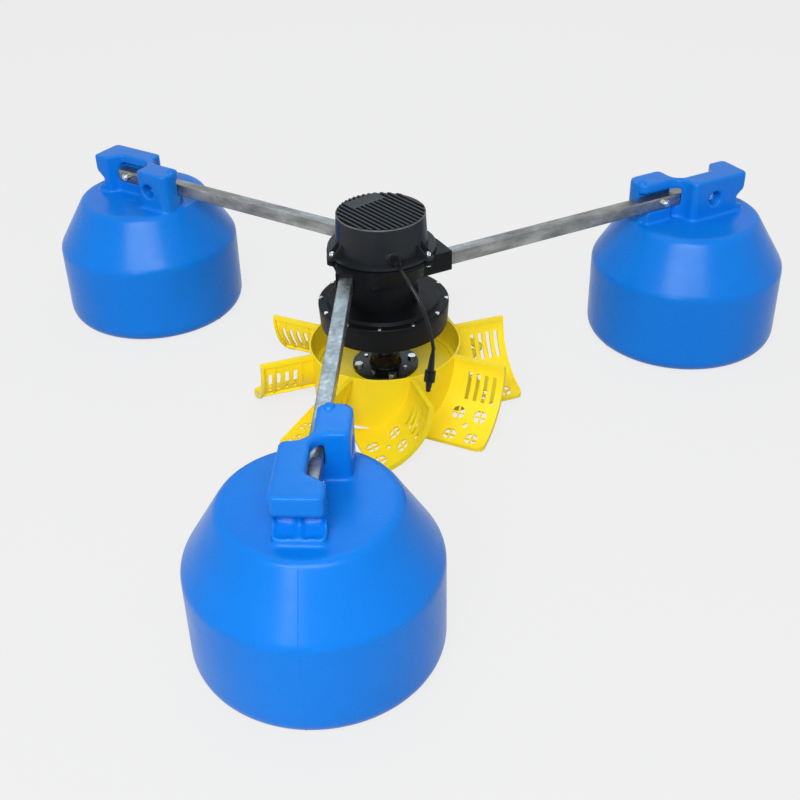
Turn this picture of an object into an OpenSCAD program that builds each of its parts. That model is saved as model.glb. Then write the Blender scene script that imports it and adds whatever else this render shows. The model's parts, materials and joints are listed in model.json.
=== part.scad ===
// Surge aerator: a motor and impeller carried over the water by three floats on square tubes.
// Millimetres, +Z up, z = 0 at the undersides of the floats, origin at the middle of the footprint.

/* [Floats] */
// Radius of the circle on which the three float axes stand
float_pitch_r = 810; // [770:1:880]
// Outer radius of a float
float_r = 232; // [215:1:250]
// Height at which the straight side ends
float_shoulder_z = 204; // [180:1:225]
// Height of the flat top
float_top_z = 326; // [310:1:340]
// Radius of the flat top
float_top_r = 159; // [157:1:175]
// Rounding of the bottom edge
float_base_fillet = 36; // [20:1:50]
// Rounding of the shoulder
float_shoulder_fillet = 30; // [10:1:50]
// Rounding of the edge of the flat top
float_top_fillet = 20; // [8:1:30]
// Thickness of the moulded wall
float_wall = 4; // [3:0.5:6]
// Distance of the float axis from the line of its arm
float_side = 8; // [0:1:14]

/* [Float handle] */
// Height of the handle above the flat top
handle_h = 97; // [94:1:106]
// Length of the handle from the float axis to its inner end
handle_inner_l = 151; // [145:1:156]
// Length of the handle from the float axis to its outer end
handle_outer_l = 120; // [112:1:126]
// Length of the inner block
inner_block_l = 97; // [90:1:102]
// Half width of the handle on the inner block's side
inner_side = 70; // [62:1:74]
// Half width of the handle on the outer block's side
outer_side = 49; // [45:1:54]
// Half width of the wall at the outer end
end_side = 42; // [38:1:48]
// Length of the full-width wall at the outer end
end_wall_l = 45; // [37:1:49]
// Clear height between the arm and the lip of the handle
lip_gap = 12; // [6:1:16]
// Wall between the arm and the floor of a bolt recess
recess_wall = 18; // [14:1:22]
// Diameter of a bolt recess
recess_d = 34; // [28:1:38]
// Depth of the rope notch under the outer end
notch_depth = 25; // [15:1:30]
// Web that divides the notch's two pockets
notch_web = 9; // [6:1:14]

/* [Arms] */
// Width of the square tube
arm_w = 30; // [25:1:32]
// Wall of the square tube
arm_wall = 2; // [1.5:0.5:3]
// Distance of each arm's line from the motor axis
arm_offset = 70; // [66:1:74]
// Height of the arm's underside above the float's flat top
arm_rise = 33; // [30:1:40]
// Length of the arm past the float axis
arm_tail = 54; // [48:1:58]
// Length of the arm past the motor axis
arm_root = 60; // [50:1:66]
// Distance of the inner float bolt from the float axis
inner_bolt_x = 90; // [85:1:100]
// Distance of the outer float bolt from the float axis
outer_bolt_x = 27; // [20:1:32]

/* [Bracket] */
// Radius of the bracket's flange
flange_r = 123; // [120:1:126]
// Thickness of the bracket's flange
flange_t = 9; // [8:0.5:12]
// Distance of the socket mouths from the motor axis
socket_reach = 127; // [124:1:140]
// Thickness of the socket walls beside and under the arm
socket_wall = 7; // [6:0.5:10]
// Reach of the socket block on the far side of the motor axis
socket_top_side = 12; // [4:1:18]
// Length of the neck between the sockets and the motor
neck_len = 76; // [60:1:90]
// Outer radius of the neck
neck_r = 80; // [76:1:84]
// Inner radius of the neck
neck_bore_r = 66; // [64:1:70]
// Radius of the bracket's body at its underside
body_r = 108; // [100:1:112]

/* [Controller] */
// Radius of the cover's wall at its foot
cover_foot_r = 103; // [101:0.5:106]
// Radius of the cover's wall at its top
cover_top_r = 99; // [96:0.5:101]
// Height of the cover with its fins
cover_h = 88; // [80:1:94]
// Thickness of the cover's wall and flange
cover_wall = 7; // [6:0.5:9]
// Height of the cooling fins
fin_h = 13; // [8:1:18]
// Thickness of a cooling fin
fin_t = 5; // [3:0.5:6]
// Distance between cooling fins
fin_pitch = 12.4; // [10:0.2:16]
// Direction of the fins from the front arm's frame
fin_angle = -48; // [-90:1:0]
// Radius of the circle of cover bolts
ear_pitch_r = 120; // [118:1:124]
// Radius of an ear around its bolt
ear_r = 13; // [12:0.5:16]
// Thickness of the cover's gasket
gasket_t = 2; // [1:0.5:3]
// Radius of the circuit board
board_r = 80; // [70:1:86]
// Height of the spacers under the circuit board
standoff_h = 12; // [8:1:16]

/* [Motor] */
// Outer radius of the motor drum
drum_r = 149; // [147:1:156]
// Height of the motor drum without its lid
drum_h = 52; // [50:1:60]
// Draft of the drum's side over its height
drum_draft = 3; // [0:0.5:4]
// Thickness of the drum's floor
drum_floor_t = 8; // [7:0.5:10]
// Thickness of the lid's rim
lid_t = 8; // [7:0.5:10]
// Radius of the lid's raised middle
lid_plateau_r = 131; // [120:1:134]
// Height of the lid's raised middle
lid_plateau_h = 6; // [4:0.5:10]
// Number of screws around the lid
lid_screw_n = 12; // [8:1:16]
// Outer radius of the stator
stator_r = 138; // [134:1:139]
// Inner radius of the stator's teeth
stator_bore_r = 91; // [88:0.5:94]
// Number of stator teeth
tooth_n = 18; // [12:3:18]
// Height of the stator and rotor stacks
stack_h = 26; // [20:1:28]
// Number of rotor magnets
magnet_n = 20; // [16:2:20]
// Thickness of a rotor magnet
magnet_t = 6; // [4:0.5:8]
// Gap between the magnets and the stator's teeth
air_gap = 1; // [0.6:0.1:1.5]
// Radius of the drive shaft
shaft_r = 17.5; // [15:0.5:20]
// Outer radius of the bearings
bearing_r = 36; // [34:0.5:38]
// Width of the bearings
bearing_w = 16; // [14:0.5:17]

/* [Hub] */
// Height from the top of the hub plate to the underside of the drum
hub_gap = 109; // [100:1:115]
// Radius of the hub plate
hub_r = 77; // [74:1:82]
// Thickness of the hub plate
hub_t = 8; // [6:0.5:12]
// Radius of the hub plate's boss
boss_r = 32; // [28:1:38]
// Height of the hub plate's boss
boss_h = 28; // [20:1:40]
// Radius of the circle of hub bolts
hub_bolt_pitch_r = 64; // [60:0.5:66]
// Radius of the circle of small hub screws
hub_screw_pitch_r = 54; // [50:0.5:56]

/* [Impeller] */
// Outer radius of the bowl at its rim
bowl_r = 177; // [174:1:182]
// Outer radius of the bowl at its lower edge
bowl_base_r = 169; // [164:1:174]
// Depth of the bowl from its rim to its floor
bowl_depth = 67; // [60:1:72]
// Whole height of the bowl's wall
bowl_h = 134; // [120:1:138]
// Thickness of the bowl's wall
bowl_wall = 5; // [4:0.5:7]
// Thickness of the bowl's floor
bowl_floor_t = 7; // [6:0.5:9]
// Inner radius of the step between floor and wall
step_r = 158; // [150:1:160]
// Height of the step between floor and wall
step_h = 6; // [3:0.5:10]

/* [Blades] */
// Angle of the first of the eight blades
blade_phase = -17.6; // [-22:0.1:22]
// Radius to the blade tips
blade_tip_r = 299; // [290:1:310]
// Radius of the scoop's section
scoop_r = 140; // [136:1:144]
// Angle that the scoop's section turns through
scoop_angle = 86; // [80:1:88]
// Thickness of the scoop
scoop_t = 4; // [3:0.5:5]
// Thickness of the rims and ribs
rim_t = 6; // [4:0.5:8]
// Height of the rims and ribs over the scoop's back
rib_h = 6; // [4:0.5:8]
// Distance between the slots
slot_pitch = 20; // [18:0.5:21]
// Width of a slot
slot_w = 9; // [6:0.5:11]
// Diameter of a round cut-out
petal_d = 30; // [24:1:32]
// Bar of the cross inside a round cut-out
petal_bar = 3.6; // [2.5:0.1:5]
// Side of the diamond cut-out
diamond_w = 10; // [6:0.5:12]

/* [Cable] */
// Diameter of the cable
cable_d = 8; // [6:0.5:9]
// Length of the connector's tapered boot
boot_l = 40; // [30:1:46]
// Length of the connector's collar
collar_l = 24; // [18:1:30]
// Radius of the connector's collar
collar_r = 12; // [11:0.5:14]
// Length of the connector's nose beyond the collar
nose_l = 24; // [18:1:28]

/* [Fasteners] */
// Thread diameter of the float bolts
float_bolt_d = 10; // [8:1:12]
// Thread diameter of the cover, neck, socket and hub bolts
bolt_d = 8; // [6:1:10]
// Thread diameter of the lid, board and small hub screws
screw_d = 5; // [4:0.5:6]
// Clearance of a hole around its bolt, on the diameter
hole_clear = 0.4; // [0.2:0.1:0.8]
// Clearance beside pieces that slide in or seat
seat_clear = 0.15; // [0.1:0.05:0.3]
// Clearance between pieces that turn past each other
run_clear = 0.3; // [0.3:0.1:0.6]

/* [Hidden] */
$fn = 64;

// Colours
blue = "#1b6fd0";
zinc = "#a9b0b4";
steel = "#c9ccce";
black = "#1d1e20";
yellow = "#f4cf1c";
copper = "#b8703a";
green = "#1f5a3a";
dark_steel = "#6b6e70";
magnet_grey = "#8f9498";
rubber_black = "#26282a";
part_grey = "#303436";
lead_red = "#8c2f2a";

// The front, right and left arms point to these directions, each turned by the skew
arm_angles = [-90, 30, 150];
// The axis stands behind the middle of the footprint, so that the origin is the middle
axis_y = float_pitch_r / 4;
// Turn of each arm from its float's direction
arm_skew = asin((arm_offset + float_side) / float_pitch_r);
// Float axis, measured along its arm
float_x = float_pitch_r * cos(arm_skew);
// Slack left beyond cuts so that they pass right through
cut = 1;

// Heights, from the floats up and then down the motor's axis
arm_base_z = float_top_z + arm_rise;
arm_top_z = arm_base_z + arm_w;
arm_mid_z = arm_base_z + arm_w / 2;
lip_z = arm_top_z + lip_gap;
handle_top_z = float_top_z + handle_h;
flange_top_z = arm_top_z + flange_t;
cover_base_z = flange_top_z + gasket_t;
cover_top_z = cover_base_z + cover_h;
fin_base_z = cover_top_z - fin_h;
cover_roof_t = 10;
cover_rim = 3;
cover_rim_h = 9;
cavity_top_z = fin_base_z - cover_roof_t;
socket_base_z = arm_base_z - socket_wall;
neck_base_z = socket_base_z - neck_len;
lid_top_z = neck_base_z - lid_plateau_h;
lid_base_z = lid_top_z - lid_t;
lid_gasket_t = 1;
drum_top_z = lid_base_z - lid_gasket_t;
drum_base_z = drum_top_z - drum_h;
drum_inside_z = drum_base_z + drum_floor_t;
hub_top_z = drum_base_z - hub_gap;
floor_top_z = hub_top_z - hub_t;
floor_base_z = floor_top_z - bowl_floor_t;
rim_z = floor_top_z + bowl_depth;
bowl_base_z = rim_z - bowl_h;
bar_rise = 4;
scoop_z = rim_z - bar_rise;

// Motor inside
stack_base_z = drum_inside_z + (lid_base_z - drum_inside_z - stack_h) / 2;
stack_top_z = stack_base_z + stack_h;
magnet_r = stator_bore_r - air_gap;
rotor_r = magnet_r - magnet_t;
tooth_w = 14;
yoke_t = 20;
coil_t = 4.5;
bearing_wall = 8;
bearing_boss_h = 6;
bearing_boss_r = bearing_r + bearing_wall;
lower_bearing_z = drum_inside_z + bearing_boss_h - bearing_w;
upper_bearing_z = lid_base_z - bearing_boss_h;
seal_w = 7;
seal_r = bearing_r - 4;
seal_gap = 1;
seal_z = lower_bearing_z - seal_gap - seal_w;
nose_floor_t = 2;
nose_base_z = seal_z - nose_floor_t;
shaft_bore_r = shaft_r + 6;
race_t = 5;
ball_pitch_r = (shaft_r + bearing_r) / 2;
ball_r = (bearing_r - shaft_r) / 2 - race_t - run_clear;
ball_n = 10;
shaft_top_z = upper_bearing_z + bearing_w - run_clear;
shaft_end_gap = 2;
boss_flare = 6;
floor_hole_r = shaft_r + 2;
shaft_base_z = floor_base_z + shaft_end_gap;
key_w = 8;
key_h = 7;
lead_r = 2;
lead_duct_x = 55;
lead_duct_r = 10;
lid_duct_r = 8;
lead_gap = 5;
lead_reach = 12;
coil_inset = 5;
lid_screw_grip = 14;
lid_screw_pitch_r = drum_r - 5.5;
lid_chamfer = 2;
lid_cap_t = 4;
drum_fillet = 8;
nose_draft = 2;
rotor_hole_n = 6;
rotor_hole_r = 14;
magnet_fill = 0.8;

// Fasteners, by thread diameter
function head_af(d) = 1.7 * d;
function head_h(d) = 0.65 * d;
function nut_h(d) = 0.8 * d;
function hex_r(af) = af / 2 / cos(30);
function screw_head_d(d) = 1.8 * d;
function screw_head_h(d) = 0.6 * d;
thread_end = 3;
thread_floor = 2;
hub_bolt_d = bolt_d + 2;
shaft_bolt_d = bolt_d + 4;
shaft_bolt_l = 30;
washer_t = 4;
washer_r = shaft_r + 10;
board_screw_grip = 5;
socket_screw_x = [62, 106];
neck_bolt_grip = 20;
neck_lap = 4;
bore_lap = 2;
body_lift = 3;
flange_step = 2;
head_gap = 2;
ear_angle = -30;
ear_neck_l = 1.2 * ear_r;
gusset_t = 3;
gusset_h = 38;
gasket_lip = 4;
socket_corner = 40;

// Handle outline, around the float axis with the arm along X
lip_inset = 3;
lip_y = float_side - lip_inset;
block_gap = 16;
inner_corner_r = 20;
throat_r = 36;
outer_corner_r = 14;
end_corner_r = 12;
web_r = 30;
back_corner_r = 25;
ledge_inset = 12;
ledge_setback = 1;
tail_gap = 3;
inner_x0 = -handle_inner_l;
inner_x1 = inner_x0 + inner_block_l;
outer_x0 = inner_x1 + block_gap;
outer_x1 = handle_outer_l;
end_x0 = outer_x1 - end_wall_l;
window_slope = 25;
notch_face_h = 36;
notch_slope_h = 22;
notch_pocket_h = 16;
notch_foot_h = 11;
notch_top_z = handle_top_z - notch_face_h;
notch_mid_z = notch_top_z - notch_slope_h;
notch_low_z = notch_mid_z - notch_pocket_h;
notch_foot_z = notch_low_z - notch_foot_h;
pocket_depth = 12;
bolt_grip = arm_w / 2 + recess_wall;

// Gland on the cover's wall
gland_angle = -71;
gland_z = cover_base_z + 17;
gland_thread_r = 8;
gland_hex_af = 19;
gland_hex_l = 8;
gland_nut_l = 18;
gland_nut_step = 1;
gland_lip = 3;
gland_boss_r = 14;
gland_seat_r = cover_foot_r + 5;
gland_end_r = gland_seat_r + gland_hex_l + gland_nut_l;

// Cable route in the gland's own frame, X along the gland and away from the motor axis:
// it leaves the gland level, bends down and hangs, short of the impeller
cable_route = [[0, 0, 0], [12, 0, 0], [26, 0, -1], [40, 1, -4], [53, 4, -10], [65, 8, -18],
    [75, 13, -29], [84, 18, -41], [92, 23, -55], [98, 27, -70], [104, 30, -85], [109, 33, -101],
    [114, 35, -116], [118, 37, -129], [121, 38, -142], [122, 36, -155]];
cable_sides = 12;
cable_end = cable_route[len(cable_route) - 1];
cable_fall = cable_end - cable_route[len(cable_route) - 2];
connector_tilt = acos(cable_fall[2] / norm(cable_fall));
connector_heading = atan2(cable_fall[1], cable_fall[0]);

// Controller inside
board_t = 1.6;
board_z = flange_top_z + standoff_h;
standoff_pitch_r = 66;
standoff_r = 5;
capacitor_r = 9;
capacitor_h = 24;
capacitor_pitch = 22;
capacitor_y = 42;
module_size = [36, 24, 10];
module_x = 26;
terminal_size = [48, 14, 14];
terminal_y = -56;

// Blade cut-outs, along the blade and by the scoop's angle from its upper edge
slot_first = 218;
slot_n = 4;
slot_from = 11.5;
slot_to = 37.5;
petal_along = [210, 262];
petal_angles = [51, 75];
diamond_along = 236;
diamond_angle = 62.5;
back_rib_angle = 45;
back_rib_along = [204, 268];
tip_corner_r = 20;
rim_inset = 2;
edge_rim_angle = 3;
rib_half_angle = 1;
rib_t = 3;

// Points of an arc
function arc(x, y, r, from, to, n = 8) =
    [for (i = [0 : n]) let (a = from + (to - from) * i / n) [x + r * cos(a), y + r * sin(a)]];

// Places
module on_axis() translate([0, axis_y, 0]) children();
module in_motor() on_axis() rotate(arm_skew) children();
module on_arm(k) on_axis() rotate(arm_angles[k] + arm_skew) children();
module on_float(k)
    on_axis() rotate(arm_angles[k]) translate([float_pitch_r, 0, 0]) rotate(arm_skew) children();
module at_gland()
    in_motor() rotate(gland_angle) translate([0, 0, gland_z]) rotate([0, 90, 0]) children();
module around(n, r, from = 0)
    for (i = [0 : n - 1]) rotate(from + i * 360 / n) translate([r, 0, 0]) children();
module ring(r_out, r_in, z, h) translate([0, 0, z]) difference() {
    cylinder(r = r_out, h = h);
    translate([0, 0, -cut]) cylinder(r = r_in, h = h + 2 * cut);
}
// A hexagon head or nut along Z, and a round bolt along Z
module hex(af, h) cylinder(r = hex_r(af), h = h, $fn = 6);
module rod(d, h) cylinder(d = d, h = h);
module screw_head() cylinder(d = screw_head_d(screw_d), h = screw_head_h(screw_d));

// Floats
function float_profile(d) =
    let (r = float_r - d, rt = float_top_r - d / 2, zt = float_top_z - d,
        lean = atan2(r - rt, zt - float_shoulder_z), base = float_base_fillet - d,
        ts = float_shoulder_fillet * tan(lean / 2), tt = float_top_fillet * tan((90 - lean) / 2))
    concat([[0, d]], arc(r - base, d + base, base, -90, 0),
        arc(r - float_shoulder_fillet, float_shoulder_z - ts, float_shoulder_fillet, 0, lean),
        arc(rt - tt, zt - float_top_fillet, float_top_fillet, lean, 90), [[0, zt]]);
handle_outline = concat(
    arc(inner_x0 + inner_corner_r, lip_y + inner_corner_r, inner_corner_r, 180, 270),
    arc(outer_x0 - throat_r, lip_y - throat_r, throat_r, 90, 0),
    arc(outer_x0 + outer_corner_r, outer_corner_r - outer_side, outer_corner_r, 180, 270),
    arc(outer_x1 - end_corner_r, end_corner_r - outer_side, end_corner_r, 270, 360),
    arc(outer_x1 - end_corner_r, end_side - end_corner_r, end_corner_r, 0, 90),
    [[end_x0, end_side], [end_x0 - window_slope, lip_y]],
    arc(inner_x1 + web_r, lip_y + web_r, web_r, 270, 180),
    arc(inner_x1 - end_corner_r, inner_side - end_corner_r, end_corner_r, 0, 90),
    arc(inner_x0 + back_corner_r, inner_side - back_corner_r, back_corner_r, 90, 180));
module handle_block() {
    root_z = float_top_z - float_top_fillet;
    translate([0, 0, root_z]) linear_extrude(handle_top_z - root_z) polygon(handle_outline);
    // Ledges that the arm rests on, beside each block
    translate([inner_x0 + ledge_inset, float_side - arm_w / 2 + ledge_setback, root_z])
        cube([inner_block_l - 2 * ledge_inset, arm_w / 2, arm_base_z - root_z]);
    translate([inner_x1 + 2 * ledge_inset, lip_y - ledge_setback, root_z])
        cube([end_x0 - inner_x1 - 3 * ledge_inset, arm_w / 2, arm_base_z - root_z]);
}
module arm_slot() {
    slot = arm_w / 2 + seat_clear;
    translate([-float_r, float_side - slot, arm_base_z])
        cube([float_r + arm_tail + tail_gap, 2 * slot, lip_z - arm_base_z]);
}
// The float bolts lie across the arm: side 1 has its head on the arm's left, side -1 on its right
module across_arm(x, side)
    translate([x, float_side, arm_mid_z]) rotate([-90 * side, 0, 0]) children();
module handle_recess(x, side) across_arm(x, side) {
    translate([0, 0, bolt_grip]) cylinder(d = recess_d, h = inner_side);
    translate([0, 0, -arm_w]) rod(float_bolt_d + hole_clear, bolt_grip + arm_w + cut);
}
module rope_notch() {
    rotate([90, 0, 0]) linear_extrude(2 * inner_side, center = true)
        polygon([[outer_x1 + cut, notch_top_z], [outer_x1 - notch_depth, notch_mid_z],
            [outer_x1 - notch_depth, notch_low_z], [outer_x1 + cut, notch_foot_z]]);
    mid = (end_side - outer_side) / 2;
    pocket_w = (end_side + outer_side) / 2 - notch_web;
    pocket_x = outer_x1 - notch_depth - pocket_depth;
    for (s = [-1, 1])
        translate([pocket_x, mid + s * (pocket_w + notch_web) / 2 - pocket_w / 2, notch_low_z])
            cube([pocket_depth + notch_depth, pocket_w, notch_pocket_h]);
}
module float_body(k) color(blue) on_float(k) difference() {
    union() {
        rotate_extrude($fn = 128) polygon(float_profile(0));
        handle_block();
    }
    rotate_extrude($fn = 128) polygon(float_profile(float_wall));
    arm_slot();
    handle_recess(-inner_bolt_x, 1);
    handle_recess(outer_bolt_x, -1);
    rope_notch();
}
module each_float_bolt() for (k = [0 : 2]) on_float(k) {
    across_arm(-inner_bolt_x, 1) children();
    across_arm(outer_bolt_x, -1) children();
}
module float_bolts() color(steel) each_float_bolt() {
    tail = arm_w / 2 + nut_h(float_bolt_d) + thread_end;
    translate([0, 0, bolt_grip]) hex(head_af(float_bolt_d), head_h(float_bolt_d));
    translate([0, 0, -tail]) rod(float_bolt_d, tail + bolt_grip);
}
module float_nuts() color(steel) each_float_bolt()
    translate([0, 0, -arm_w / 2 - nut_h(float_bolt_d)]) difference() {
        hex(head_af(float_bolt_d), nut_h(float_bolt_d));
        translate([0, 0, -cut]) rod(float_bolt_d + hole_clear / 2, nut_h(float_bolt_d) + 2 * cut);
    }

// Arms
module arm(k) color(zinc) on_arm(k) difference() {
    length = arm_root + float_x + arm_tail;
    translate([-arm_root, -arm_offset - arm_w / 2, arm_base_z]) cube([length, arm_w, arm_w]);
    translate([-arm_root - cut, -arm_offset - arm_w / 2 + arm_wall, arm_base_z + arm_wall])
        cube([length + 2 * cut, arm_w - 2 * arm_wall, arm_w - 2 * arm_wall]);
    for (x = [float_x - inner_bolt_x, float_x + outer_bolt_x])
        translate([x, -arm_offset, arm_mid_z]) rotate([90, 0, 0])
            cylinder(d = float_bolt_d + hole_clear, h = 2 * arm_w, center = true);
    for (x = socket_screw_x)
        translate([x, -arm_offset, arm_base_z - cut]) rod(bolt_d + hole_clear, arm_w + 2 * cut);
}

// Bracket
module socket_block() intersection() {
    side = -arm_offset - arm_w / 2 - socket_wall;
    root = -arm_root - socket_wall;
    translate([root, 0, 0]) rotate([90, 0, 90]) linear_extrude(socket_reach - root)
        polygon([[side, socket_base_z], [-arm_offset + arm_w / 2 + 3 * socket_wall, socket_base_z],
            [socket_top_side, arm_top_z], [socket_top_side, flange_top_z], [side, flange_top_z]]);
    linear_extrude(2 * flange_top_z) union() {
        translate([root, side]) square([socket_reach - socket_corner - root, socket_top_side - side]);
        translate([root, side]) square([socket_reach - root, socket_top_side - socket_corner - side]);
        translate([socket_reach - socket_corner, socket_top_side - socket_corner]) circle(socket_corner);
    }
}
module socket_bore() {
    w = arm_w + 2 * seat_clear;
    translate([-arm_root - seat_clear, -arm_offset - w / 2, arm_base_z])
        cube([2 * socket_reach, w, arm_w]);
    for (x = socket_screw_x)
        translate([x, -arm_offset, socket_base_z - cut])
            rod(bolt_d + hole_clear, flange_top_z - thread_floor - socket_base_z + cut);
}
module ear_places() in_motor() around(3, ear_pitch_r, ear_angle) children();
module ears(z, h) ear_places() translate([0, 0, z]) {
    cylinder(r = ear_r, h = h);
    translate([-ear_neck_l, -ear_r, 0]) cube([ear_neck_l, 2 * ear_r, h]);
}
module ear_holes(z, h) ear_places() translate([0, 0, z]) rod(bolt_d + hole_clear, h);
module neck_bolt_places() in_motor() around(6, (neck_r + neck_bore_r) / 2, 30) children();
module lead_duct() in_motor() translate([lead_duct_x, 0, 0]) children();
module standoff_places() in_motor() around(4, standoff_pitch_r, 20) children();
module tripod_bracket() color(black) difference() {
    union() {
        on_axis() translate([0, 0, arm_top_z]) cylinder(r = flange_r, h = flange_t);
        ears(arm_top_z, flange_t);
        for (k = [0 : 2]) on_arm(k) socket_block();
        on_axis() translate([0, 0, neck_base_z]) cylinder(r = neck_r, h = neck_len + neck_lap);
        on_axis() translate([0, 0, socket_base_z + body_lift])
            cylinder(r1 = body_r, r2 = flange_r - flange_step, h = arm_top_z - socket_base_z);
    }
    on_axis() translate([0, 0, neck_base_z - cut]) cylinder(r = neck_bore_r, h = neck_len + bore_lap);
    for (k = [0 : 2]) on_arm(k) socket_bore();
    ear_holes(arm_top_z - cut, flange_t + 2 * cut);
    // Room for the heads of the cover's bolts
    ear_places() translate([0, 0, socket_base_z - cut])
        cylinder(r = hex_r(head_af(bolt_d)) + head_gap, h = arm_top_z - socket_base_z + cut);
    neck_bolt_places() translate([0, 0, neck_base_z - cut])
        rod(bolt_d + hole_clear, neck_bolt_grip + thread_floor + cut);
    lead_duct() translate([0, 0, neck_base_z])
        cylinder(r = lead_duct_r, h = flange_top_z - neck_base_z + cut);
    standoff_places() translate([0, 0, flange_top_z - board_screw_grip - cut])
        rod(screw_d + hole_clear, board_screw_grip + 2 * cut);
}
module socket_screws() color(steel) for (k = [0 : 2]) on_arm(k) for (x = socket_screw_x)
    translate([x, -arm_offset, socket_base_z - head_h(bolt_d)]) {
        hex(head_af(bolt_d), head_h(bolt_d));
        rod(bolt_d, head_h(bolt_d) + socket_wall + arm_w + flange_t / 2);
    }
module neck_bolts() color(steel) neck_bolt_places() {
    translate([0, 0, lid_base_z - head_h(bolt_d)]) {
        hex(head_af(bolt_d), head_h(bolt_d));
        rod(bolt_d, head_h(bolt_d) + lid_t + lid_plateau_h + neck_bolt_grip);
    }
}

// Controller
module gussets() in_motor() around(3, 0, ear_angle) for (s = [-1, 1])
    translate([0, s * (ear_r - gusset_t) + gusset_t / 2, cover_base_z + cover_wall])
        rotate([90, 0, 0]) linear_extrude(gusset_t)
            polygon([[cover_top_r - cover_wall, -cut], [ear_pitch_r + ear_r / 2, -cut],
                [ear_pitch_r + ear_r / 2, 0], [cover_top_r - cover_wall, gusset_h]]);
module fins() {
    reach = cover_top_r - cover_rim / 2;
    n = floor(reach / fin_pitch);
    intersection() {
        translate([0, 0, fin_base_z - cut]) cylinder(r = reach, h = fin_h + cut);
        rotate(fin_angle) union() {
            for (i = [-n : n]) translate([-reach, i * fin_pitch - fin_t / 2, fin_base_z - cut])
                cube([2 * reach, fin_t, fin_h + cut]);
            // Plain raised plate that covers the fins' ends on one side
            translate([-reach, -3 * fin_pitch, fin_base_z - cut])
                cube([reach / 2, 7 * fin_pitch, fin_h + cut]);
        }
    }
}
module controller_cover() color(black) difference() {
    union() {
        on_axis() rotate_extrude($fn = 128) polygon([[0, cover_base_z],
            [flange_r - flange_step, cover_base_z], [flange_r - flange_step, cover_base_z + cover_wall],
            [cover_foot_r, cover_base_z + cover_wall], [cover_top_r, fin_base_z + cover_rim_h],
            [cover_top_r - cover_rim, fin_base_z + cover_rim_h],
            [cover_top_r - cover_rim, fin_base_z], [0, fin_base_z]]);
        ears(cover_base_z, cover_wall);
        gussets();
        in_motor() fins();
        at_gland() translate([0, 0, cover_top_r - cover_wall])
            cylinder(r = gland_boss_r, h = gland_seat_r - cover_top_r + cover_wall);
    }
    on_axis() rotate_extrude($fn = 128) polygon([[0, cover_base_z - cut],
        [cover_foot_r - cover_wall, cover_base_z - cut], [cover_top_r - cover_wall, cavity_top_z],
        [0, cavity_top_z]]);
    ear_holes(cover_base_z - cut, cover_wall + 2 * cut);
    at_gland() cylinder(r = gland_thread_r + seat_clear, h = gland_seat_r + cut);
}
module cover_gasket() color(rubber_black) on_axis()
    ring(cover_foot_r + gasket_lip, cover_foot_r - cover_wall, flange_top_z, gasket_t);
module cover_bolts() color(steel) ear_places() {
    translate([0, 0, arm_top_z - head_h(bolt_d)]) hex(head_af(bolt_d), head_h(bolt_d));
    translate([0, 0, arm_top_z - head_h(bolt_d)])
        rod(bolt_d, head_h(bolt_d) + flange_t + gasket_t + cover_wall + nut_h(bolt_d) + thread_end);
}
module cover_nuts() color(steel) ear_places()
    translate([0, 0, cover_base_z + cover_wall]) difference() {
        hex(head_af(bolt_d), nut_h(bolt_d));
        translate([0, 0, -cut]) rod(bolt_d + hole_clear / 2, nut_h(bolt_d) + 2 * cut);
    }
module control_board() color(green) difference() {
    on_axis() translate([0, 0, board_z]) cylinder(r = board_r, h = board_t);
    standoff_places() translate([0, 0, board_z - cut]) rod(screw_d + hole_clear, board_t + 2 * cut);
}
module board_parts() color(part_grey) in_motor() translate([0, 0, board_z + board_t]) {
    // Capacitors, power modules and the terminal block
    for (i = [-1 : 1]) translate([capacitor_pitch * i, capacitor_y, 0])
        cylinder(r = capacitor_r, h = capacitor_h);
    for (s = [-1, 1]) translate([s * module_x, 0, module_size[2] / 2])
        cube(module_size, center = true);
    translate([-terminal_size[0] / 2, terminal_y, 0]) cube(terminal_size);
}
module board_standoffs() color(steel) standoff_places() difference() {
    translate([0, 0, flange_top_z]) cylinder(r = standoff_r, h = standoff_h);
    translate([0, 0, flange_top_z - cut]) rod(screw_d + hole_clear, standoff_h + 2 * cut);
}
module board_screws() color(steel) standoff_places() {
    translate([0, 0, flange_top_z - board_screw_grip])
        rod(screw_d, standoff_h + board_t + board_screw_grip);
    translate([0, 0, board_z + board_t]) screw_head();
}

// Gland, cable and connector
module gland_body() color(black) at_gland() difference() {
    union() {
        translate([0, 0, cover_top_r - 2 * cover_wall])
            cylinder(r = gland_thread_r, h = gland_seat_r - cover_top_r + 3 * cover_wall);
        translate([0, 0, gland_seat_r]) rotate(30) hex(gland_hex_af, gland_hex_l);
    }
    translate([0, 0, cover_top_r - 3 * cover_wall]) cylinder(d = cable_d, h = gland_end_r);
}
module gland_nut() color(black) at_gland() translate([0, 0, gland_seat_r + gland_hex_l]) difference() {
    union() {
        rotate(30) hex(gland_hex_af - 2 * gland_nut_step, gland_nut_l / 2);
        translate([0, 0, gland_nut_l / 2 - cut])
            cylinder(r1 = gland_hex_af / 2 - gland_nut_step, r2 = cable_d / 2 + gland_lip,
                h = gland_nut_l / 2 + cut);
    }
    translate([0, 0, -cut]) cylinder(d = cable_d, h = gland_nut_l / 2 + cut);
}
module in_gland_frame()
    in_motor() rotate(gland_angle) translate([gland_end_r, 0, gland_z]) children();
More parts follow.
